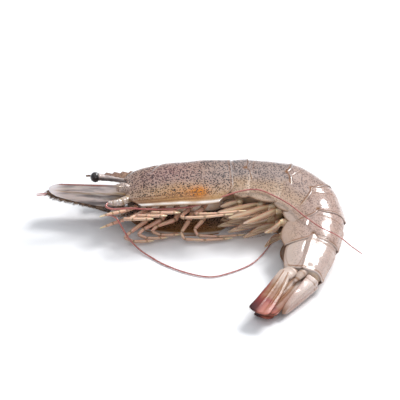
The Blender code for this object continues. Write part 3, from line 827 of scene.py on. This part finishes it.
for side, sign in SIDES:
    leaf(f"antennal_scale_blade_{side}", SCALES[side], scale_edges, lambda v: 0.55 * (1.0 - 0.5 * v),
         scale_relief, head, film_look, (f"antennal_scale_{side}",), scale_stains)
    root, run, heading, up, sideways = blade_axes(*SCALES[side])
    hairs = []
    for step in range(SCALE_HAIRS):
        v = 0.12 + 0.875 * step / (SCALE_HAIRS - 1)
        clump = 0.5 + noise.noise(Vector((step * 0.11, 4.0 * sign, 0.5)))
        edge = root + run * v + sideways * (scale_edges(v)[0] + 0.25)
        lean = heading * (0.5 + 0.7 * v) - sideways * (1.0 - 0.3 * clump) + up * random.uniform(-0.2, 0.5)
        hairs.append((edge, edge + lean.normalized() * (1.1 + 1.5 * clump * v + 0.5 * random.random())))
    fringe(f"antennal_scale_fringe_{side}", hairs, head, bristle_look, 0.11)
    spine_root = root + run * SPINE_SPOT + sideways * (scale_edges(SPINE_SPOT)[1] - 0.1)
    spine_tip = spine_root + heading * 1.9 - sideways * 0.15 + up * 0.25
    fringe(f"antennal_scale_spine_{side}", [(spine_root, spine_tip)], head, bristle_look, 0.22)
    base = [(1.2, -4.2, 4.9, 1.4, 1.5), (-1.2, -4.4, 5.3, 2.0, 2.0), (-3.4, -4.8, 5.6, 1.6, 1.4),
            (-5.8, -5.3, 6.0, 0.3, 0.2)]
    if side == "right":
        base = [(x, y - 0.4, -z + 0.6, across, aside) for x, y, z, across, aside in base]
    limb(f"antennal_scale_base_{side}", base, head, shell_look, sides=24, neck=0.06,
         stains={"bare": lambda u, v, p: 0.4, "pale": lambda u, v, p: 0.45,
                 "brown": lambda u, v, p: 0.7 * hump(v, 0.66, 0.03)})

# ---- Eyes ----
# Round black eyes with a hard wet gloss, each on a short grey stalk in a notch of the carapace.
black = Look("black_eye", 0.12, subsurface=0.0)
facets = black.cells(0.12)
colour = black.mix(black.span(facets, 0.2, 0.5), (0.012, 0.01, 0.012), (0.03, 0.022, 0.02))
eye_look = black.done(colour, facets, 0.015)
EYE_RADIUS = 1.8
STALK_END = (-9.6, 3.7, 4.0)
for side, sign in SIDES:
    x, y, z = STALK_END
    stalk = [(0.8, 2.0, 2.6, 1.0, 1.0), (-4.0, 2.9, 3.3, 0.9, 0.9), (-8.6, 3.6, 3.9, 1.25, 1.25),
             (x, y, z, 1.3, 1.3)]
    limb(f"eye_stalk_{side}", mirrored(stalk, sign), head, film_look, neck=0.1)

    def eye_place(u, v):
        girth = EYE_RADIUS * math.sin(math.pi * v)
        rise, aside = circle(u)
        return (x - 1.0 - EYE_RADIUS * math.cos(math.pi * v) * 0.95, y + girth * rise,
                sign * z + girth * aside)

    ball = skin(f"eye_ball_{side}", 32, 20, eye_place, head, closed=True)
    finish(ball, eye_look, (f"eye_{side}",))

# ---- Feelers of the head ----
# Short thick stalks side by side between the scales, each with two thin whips; below them the knobs
# that carry the long antennae, clear and white with fine brown marks.
antenna = Look("antenna_red", 0.28, subsurface=0.2, radius=0.5)
colour = antenna.mix(antenna.span(antenna.noise(2.0), 0.35, 0.65), (0.56, 0.17, 0.15), (0.68, 0.29, 0.24))
antenna_look = antenna.done(antenna.painted(colour, ("ringed", (0.3, 0.06, 0.06))))
FEELERS = {
    "left": ([(0.6, 0.4, 1.5, 1.5, 1.3), (-6.0, -1.0, 1.7, 1.3, 1.1), (-10.5, -1.4, 1.9, 1.0, 0.9),
              (-13.6, -1.65, 2.05, 0.7, 0.6)],
             [(-13.0, -1.6, 2.0), (-18.0, -2.1, 2.7), (-24.0, -2.9, 3.5), (-31.0, -4.0, 4.2)]),
    "right": ([(0.6, 0.4, -1.5, 1.5, 1.3), (-6.0, -0.8, -1.6, 1.2, 1.0), (-10.5, -1.1, -1.1, 0.9, 0.8),
               (-13.2, -1.25, -0.65, 0.6, 0.5)],
              [(-12.8, -1.2, -0.7), (-18.0, -1.4, 0.7), (-24.0, -2.0, 2.2), (-31.0, -3.4, 3.0)]),
}
for side, (stalk, line) in FEELERS.items():
    limb(f"feeler_stalk_{side}", stalk, head, film_look, (f"antennule_{side}",),
         stains={"rib": lambda u, v, p: 0.3 * hump(v, 0.33, 0.03) + 0.3 * hump(v, 0.66, 0.03)})
    for part, rise in (("upper", 0.28), ("lower", -0.28)):
        thread = [(x, y + rise * (1.0 - 0.25 * index), z, 0.3 - 0.07 * index, 0.3 - 0.07 * index)
                  for index, (x, y, z) in enumerate(line)]
        limb(f"feeler_{part}_{side}", thread, head, antenna_look, sides=8, neck=0.0,
             stains={"ringed": lambda u, v, p: 0.5})
knob = Look("clear_knob", 0.25, subsurface=0.5, radius=1.5)
colour = knob.mix(knob.span(knob.noise(1.0), 0.4, 0.7), (0.5, 0.41, 0.36), (0.7, 0.62, 0.57))
marks = knob.span(knob.noise(0.6, 2.0), 0.6, 0.72)
colour = knob.painted(colour, (marks, (0.2, 0.13, 0.09)), ("brown", (0.3, 0.18, 0.07)))
knob_look = knob.done(colour, knob.noise(1.4, 2.0), 0.16)
knob_stains = {
    "brown": lambda u, v, p: (
        0.8 * fade(v, 0.1, 0.35) + 0.8 * hump(v, 0.36, 0.03) + 0.6 * hump(v, 0.68, 0.02)),
}
KNOBS = {
    "left": ([(1.6, -7.2, 3.6, 1.4, 1.3), (-1.0, -8.9, 3.8, 1.5, 1.3), (-3.4, -10.2, 4.1, 1.2, 1.2),
              (-5.4, -10.6, 4.5, 0.85, 0.85), (-6.7, -10.7, 4.8, 0.55, 0.55)], 0.14),
    "right": ([(0.6, -7.6, -1.2, 1.0, 1.1), (-2.4, -9.2, -0.5, 1.3, 1.3), (-4.4, -9.7, -0.4, 1.3, 1.3),
               (-6.2, -9.8, -1.3, 0.6, 0.6)], 0.08),
}
for side, (path, neck) in KNOBS.items():
    limb(f"antenna_knob_{side}", path, head, knob_look, (f"antenna_peduncle_{side}",), sides=20,
         neck=neck, stains=knob_stains)

# ---- Long antennae ----
# Two long pinkish red whips of many tiny rings. The left one runs back over the flank and past the
# bend of the tail, the right one drops to the table and loops round in front of the belly.
on_table = Matrix.Translation(Vector((*BODY_PLACE[:2], 0.0)) * MM) @ Matrix.Scale(MM, 4)
RINGLETS = 12  # tiny rings between two points of a whip


def whip(name, points, thick, thin, nodes):
    """A long antenna through points above the table, its radius going from thick to thin."""
    last = len(points) - 1
    radii = [thick + (thin - thick) * index / last for index in range(len(points))]
    path = [(*point, radius, radius) for point, radius in zip(points, radii)]
    limb(name, path, on_table, antenna_look, nodes, sides=8, rows=24, neck=0.0, softness=0,
         stains={"ringed": lambda u, v, p: 0.5 + 0.5 * math.sin(2.0 * math.pi * RINGLETS * v * last)})


whip("antenna_whip_left",
     [(-31.0, -6.4, 12.2), (-31.6, -8.4, 12.0), (-29.2, -9.0, 11.4), (-23.8, -9.0, 11.7),
      (-17.0, -10.2, 12.2), (-10.3, -9.8, 12.1), (-3.6, -8.8, 12.2), (2.1, -7.6, 13.1),
      (8.1, -6.3, 14.9), (13.8, -4.2, 15.5), (19.2, -3.7, 15.6), (24.5, -6.3, 14.9),
      (29.7, -10.4, 14.1), (34.0, -15.8, 13.5), (38.4, -20.5, 12.8), (41.9, -22.1, 11.8),
      (45.5, -22.9, 10.0), (49.0, -25.0, 8.0), (52.6, -26.7, 6.0)], 0.34, 0.16, ("antenna_flagellum_left",))
whip("antenna_whip_right",
     [(-30.7, -4.8, 6.1), (-31.2, -6.4, 7.0), (-30.2, -7.8, 7.9), (-28.2, -9.4, 7.8),
      (-26.0, -12.0, 5.2), (-23.6, -14.4, 2.5), (-20.2, -17.9, 1.0), (-16.2, -21.4, 0.45),
      (-11.8, -25.2, 0.4), (-4.5, -29.5, 0.4), (3.0, -31.6, 0.4), (9.5, -29.5, 0.4),
      (16.2, -25.2, 0.4), (20.3, -19.8, 0.4), (23.2, -14.2, 0.4), (25.7, -9.7, 0.35),
      (27.0, -6.0, 0.35)], 0.32, 0.15, ("antenna_flagellum_right",))

# ---- Swimming legs ----
# Five pairs, folded forward under the abdomen: a thick clear yellowish base, then two flat soft
# blades with brown and red edges and a fringe of fine hair.
paddle = Look("paddle_skin", 0.3, subsurface=0.45, radius=1.2)
clouds = paddle.span(paddle.noise(2.0, 3.0, 0.3, (4.0, 1.0, 1.0)), 0.35, 0.65)
colour = paddle.painted(
    paddle.mix(clouds, (0.96, 0.72, 0.46), (0.97, 0.72, 0.54)),
    ("yellow", (0.88, 0.68, 0.34)),
    ("red", (0.5, 0.16, 0.1)),
    (paddle.span(paddle.cells(0.55), 0.1, 0.24, 0.3, 0.0), (0.16, 0.07, 0.05)))
paddle_look = paddle.done(colour, paddle.noise(0.8, 3.0, 0.0, (4.0, 1.0, 1.0)), 0.08)
PADDLE_TIPS = ((6.5, -6.0), (5.5, -9.0), (9.0, -11.8), (14.0, -14.6), (21.0, -19.2))
PADDLE_HAIRS = 70
OUT = 3.0  # how far the swimming legs stand off the middle
back_to_body = lying.inverted()
swim_hairs = []


def paddle_half(width, v):
    """Half the width of a blade on its way from root to tip."""
    return width * math.sin(math.pi * (0.12 + 0.86 * v)) ** 0.8


def paddle_faces(s, v):
    """Lower and upper face: bowed along and across, with a rib down the middle."""
    bow = 0.9 * math.sin(math.pi * v) - 0.35 * s * s
    return bow, bow + 0.12 * hump(s, 0.0, 0.12)


for pair, tip in enumerate(PADDLE_TIPS):
    length, _, _, _, depth, _ = RINGS[pair]
    to_body = back_to_body @ links[pair]
    root = to_body @ Vector((length * 0.45, -depth * 0.58 - 1.0, 0.0))
    down = (to_body.to_3x3() @ Vector((0.0, -1.0, 0.0))).normalized()
    elbow = root + down * 3.4
    reach = Vector((*tip, 0.0)) - elbow
    ankle = elbow + reach * 0.12 + down * 0.6
    blade_stains = {
        "red": lambda u, v, p: (
            0.03 * pair + 0.95 * hump(abs(crosswise(u)), 1.0, 0.17) + 0.8 * hump(crosswise(u), 0.1, 0.15)),
        "yellow": lambda u, v, p: 0.4 * fade(v, 0.0, 0.4),
    }
    for side, sign in SIDES:
        base = [(*(root - down * 1.5).xy, OUT, 1.5, 1.3), (*root.xy, OUT, 1.5, 1.4),
                (*elbow.xy, OUT, 1.3, 1.4), (*ankle.xy, OUT - 0.1, 0.7, 1.2)]
        limb(f"swimmeret_base_{pair + 1}_{side}", mirrored(base, sign), lying, paddle_look,
             (f"pleopod_{pair + 1}_{side}",), neck=0.12,
             stains={"yellow": lambda u, v, p: 0.2, "red": lambda u, v, p: 0.5 * hump(v, 0.66, 0.05)})
        for blade, shift, width in (("outer", 0.9, 1.4 if pair == 4 else 1.9), ("inner", -0.7, 1.4)):
            start = elbow + reach * 0.06 + down * 0.5
            end = elbow + reach * (1.0 if blade == "outer" else 0.82)
            lie = ((*start.xy, sign * (OUT + shift * 0.4)), (*end.xy, sign * (OUT - 0.4 + shift * 0.5)),
                   (0.0, 0.0, float(sign)))
            leaf(f"swimmeret_{blade}_{pair + 1}_{side}", lie,
                 lambda v: (-paddle_half(width, v), paddle_half(width, v)),
                 lambda v: 0.3 * (1.0 - 0.5 * v), paddle_faces, lying, paddle_look,
                 stains=blade_stains, around=24, along=28)
            line = end - start
            beside = Vector((-line.y, line.x, 0.0)).normalized()
            for step in range(PADDLE_HAIRS if pair < 4 else 0):
                v = 0.25 + 0.75 * step / (PADDLE_HAIRS - 1)
                height = sign * (OUT + shift * 0.4 - 0.4 * v) + sign * (0.9 * math.sin(math.pi * v) - 0.3)
                for hand in (-1.0, 1.0):
                    spot = Vector((*(start + line * v).xy, height)) + beside * hand * (
                        paddle_half(width, v) - 0.15)
                    lean = line.normalized() * (0.5 + v) + beside * hand * 0.6
                    swim_hairs.append((spot, spot + lean.normalized() * random.uniform(0.5, 1.1)))
fringe("swimmeret_fringe", swim_hairs, lying, bristle_look, 0.035)

# ---- Tail fan ----
# A short base and a hinge knob carry an outer and an inner blade on each side; the pointed telson
# lies between them. Stiff brown ribs run along the blades, whose dark red tips carry fine hair.
tail = Look("tail_blade", 0.4, coat=0.22, coat_roughness=0.16, subsurface=0.15, radius=0.8)
colour = tail.painted(
    tail.mix(tail.span(tail.noise(1.6, 3.0, 0.3), 0.35, 0.65), (0.24, 0.115, 0.05), (0.31, 0.17, 0.105)),
    ("pale", (0.6, 0.47, 0.4)),
    ("rosy", (0.46, 0.15, 0.11)),
    ("rib", (0.27, 0.105, 0.025)),
    ("red", (0.26, 0.022, 0.022)),
    ("dark", (0.04, 0.008, 0.01)),
    (tail.span(tail.cells(0.6), 0.08, 0.22, 0.4, 0.0), (0.14, 0.06, 0.05)))
tail_look = tail.done(colour, tail.noise(2.0, 2.0), 0.06)
FAN_HAIRS = 160


def leaning(roll, sign=1.0):
    """The direction across a blade that is rolled by that angle about its length."""
    angle = math.radians(roll)
    return 0.0, -math.sin(angle), sign * math.cos(angle)


def fan_blade(name, node, lie, outer_edge, inner_edge, ribs, red_from):
    """One blade of the fan between its outer and inner edges, each a list of distances from the
    middle line, with ribs at the given places across it and red from red_from to the tip."""
    def edges(v):
        tail_off = math.sqrt(max(0.0, 1.0 - (max(0.0, v - 0.84) / 0.16) ** 3.5))
        stops = np.linspace(0.0, 1.0, len(outer_edge))
        return -np.interp(v, stops, inner_edge) * tail_off, np.interp(v, stops, outer_edge) * tail_off

    def relief(s, v):
        camber = 0.3 * (1.0 - s * s)
        ridges = sum(0.34 * hump(s, centre, 0.06) for centre in ribs) * fade(v, 0.75, 0.98)
        return camber - 0.2 * ridges, camber + ridges

    stains = {
        "pale": lambda u, v, p: 0.9 * fade(v, 0.1, 0.45),
        "rosy": lambda u, v, p: (
            0.25 * ease(v, 0.3, 0.6)
            + 0.9 * ease(v, red_from, red_from + 0.15) * fade(crosswise(u), -0.1, 0.6)),
        "rib": lambda u, v, p: (
            sum(0.95 * hump(crosswise(u), centre, 0.09) for centre in ribs)
            * (1.0 - 0.7 * ease(v, red_from, 0.95))),
        "red": lambda u, v, p: (
            0.9 * ease(v, red_from - 0.05, red_from + 0.15) * ease(crosswise(u), -0.3, 0.5)
            + 0.9 * hump(v, red_from + 0.06, 0.05) * hump(crosswise(u), -0.25, 0.45)
            + 0.9 * hump(crosswise(u), 1.0, 0.24) * ease(v, 0.12, 0.45)
            + 0.5 * hump(crosswise(u), -1.0, 0.08) * ease(v, 0.4, 0.7)),
        "dark": lambda u, v, p: (
            0.95 * ease(v, red_from - 0.02, 0.95) * ease(crosswise(u), -0.35, 0.65)
            + 0.4 * hump(crosswise(u), 1.0, 0.06) * ease(v, 0.3, 0.6)),
    }
    leaf(name, lie, edges, lambda v: 0.75 * (1.0 - 0.5 * v), relief, fan, tail_look, (node,), stains,
         around=56, along=60)
    root, run, heading, up, sideways = blade_axes(*lie)
    hairs = []
    for step in range(FAN_HAIRS):
        v = 0.45 + 0.55 * step / (FAN_HAIRS - 1)
        for edge, hand in enumerate((-0.45, 0.45)):
            spot = root + run * v + sideways * edges(v)[edge]
            lean = heading + sideways * hand * (1.1 - v) + up * random.uniform(-0.15, 0.15)
            hairs.append((spot - lean * 0.1, spot + lean.normalized() * random.uniform(0.4, 0.75)))
    fringe(name + "_fringe", hairs, fan, bristle_look, 0.04)


EXOPOD_LENGTH = 20.7
ENDOPOD_LENGTH = 18.4
TELSON_LENGTH = 16.3
# name and node; root, tip and roll; outer and inner edge; ribs; where the red starts
fan_blade("tail_outer_left", "uropod_exopod_left",
          ((2.7, -4.2, 3.4), (2.7 + EXOPOD_LENGTH, -1.3, 3.5), leaning(86)),
          (2.0, 2.3, 2.5, 2.9, 3.6), (1.8, 2.8, 3.4, 3.6, 3.6), (-0.55, 0.25), 0.64)
fan_blade("tail_inner_left", "uropod_endopod_left",
          ((1.2, -0.8, 1.4), (1.2 + ENDOPOD_LENGTH, -0.4, 1.4), leaning(75)),
          (2.0, 2.5, 2.7, 2.7, 2.3), (2.6, 3.4, 3.5, 3.2, 2.5), (-0.2, 0.35), 0.78)
fan_blade("tail_inner_right", "uropod_endopod_right",
          ((1.2, -0.8, -0.7), (1.2 + ENDOPOD_LENGTH, 0.4, 0.3), leaning(82, -1.0)),
          (2.0, 2.5, 2.7, 2.7, 2.3), (2.2, 2.6, 2.7, 2.6, 2.3), (0.1,), 0.78)
fan_blade("tail_outer_right", "uropod_exopod_right",
          ((2.7, -4.4, -2.3), (EXOPOD_LENGTH, -1.4, -1.0), leaning(84, -1.0)),
          (0.7, 0.9, 1.4, 2.3, 3.3), (1.6, 2.6, 3.2, 3.5, 3.4), (-0.55, 0.25), 0.7)
TAIL_JOINTS = (
    ("tail_base", 28, 0.0,
     [(-2.4, -3.0, 1.8, 2.4, 1.5), (0.6, -3.3, 2.3, 2.5, 1.5), (3.2, -3.8, 2.8, 2.4, 1.1),
      (5.8, -4.0, 3.3, 1.8, 0.7), (8.2, -4.2, 3.6, 0.8, 0.2)],
     {"pale": lambda u, v, p: 1.0 - 0.6 * ease(v, 0.75, 0.95),
      "rib": lambda u, v, p: 0.8 * hump(v, 0.22, 0.02) + 0.9 * ease(v, 0.86, 0.93)}),
    ("tail_hinge_knob", 20, 0.05,
     [(-2.0, 0.4, 2.2, 1.3, 1.5), (0.2, 0.2, 2.9, 1.35, 1.3), (2.2, 0.3, 3.0, 1.0, 0.8),
      (4.6, 0.2, 2.8, 0.35, 0.3)],
     {"pale": lambda u, v, p: 0.85,
      "rib": lambda u, v, p: 0.9 * hump(v, 0.36, 0.03) + 0.8 * hump(v, 0.8, 0.05)}),
)
for side, sign, inwards in (("left", 1.0, 0.0), ("right", -1.0, 0.6)):
    for name, sides, neck, path, stains in TAIL_JOINTS:
        moved = [(x, y, z - inwards, across, aside) for x, y, z, across, aside in path]
        limb(f"{name}_{side}", mirrored(moved, sign), fan, tail_look, sides=sides, neck=neck,
             stains=stains)


TELSON_WIDTH = 3.45
TELSON_HEIGHT = 2.3


def squared(value):
    """A sine or cosine value pushed out towards -1 and 1, for a section with flat sides."""
    return math.copysign(abs(value) ** 0.5, value)


def telson_place(u, v):
    """The telson narrows upwards and towards its tip, and has a groove along the top."""
    s, lift = (squared(part) for part in circle(u))
    tip_off = math.sqrt(max(0.0, 1.0 - (max(0.0, v - 0.55) / 0.45) ** 2.0))
    half = (TELSON_WIDTH - 0.45 * v) * tip_off * (1.0 - 0.19 * (1.0 + lift))
    groove = -0.45 * hump(s, 0.0, 0.2) * fade(v, 0.7, 1.0) if lift > 0.0 else 0.0
    height = (TELSON_HEIGHT - 1.7 * v) * lift + groove
    if v <= 0.0 or v >= 1.0:
        half, height = 0.0, 0.0
    return -1.4 + (TELSON_LENGTH + 1.0) * v, 3.7 - 0.2 * v + height, -s * half


telson = skin("telson_blade", 48, 56, telson_place, fan, {
    # pale near the root, and a pale band down the upward-facing side: a painted highlight over the flank's
    # whitish tone
    "pale": lambda u, v, p: 0.35 * fade(v, 0.2, 0.7) + 0.65 * hump(u, 0.42, 0.1) * fade(v, 0.75, 0.95),
    "rosy": lambda u, v, p: 0.75,
    "bare": lambda u, v, p: 0.85,
    "brown": lambda u, v, p: (
        0.35 * hump(abs(crosswise(u)), 0.72, 0.05) + 0.8 * hump(v, 0.12, 0.012) + 0.55 * ease(v, 0.8, 1.0)),
}, closed=True)
finish(telson, shell_look, ("telson",))
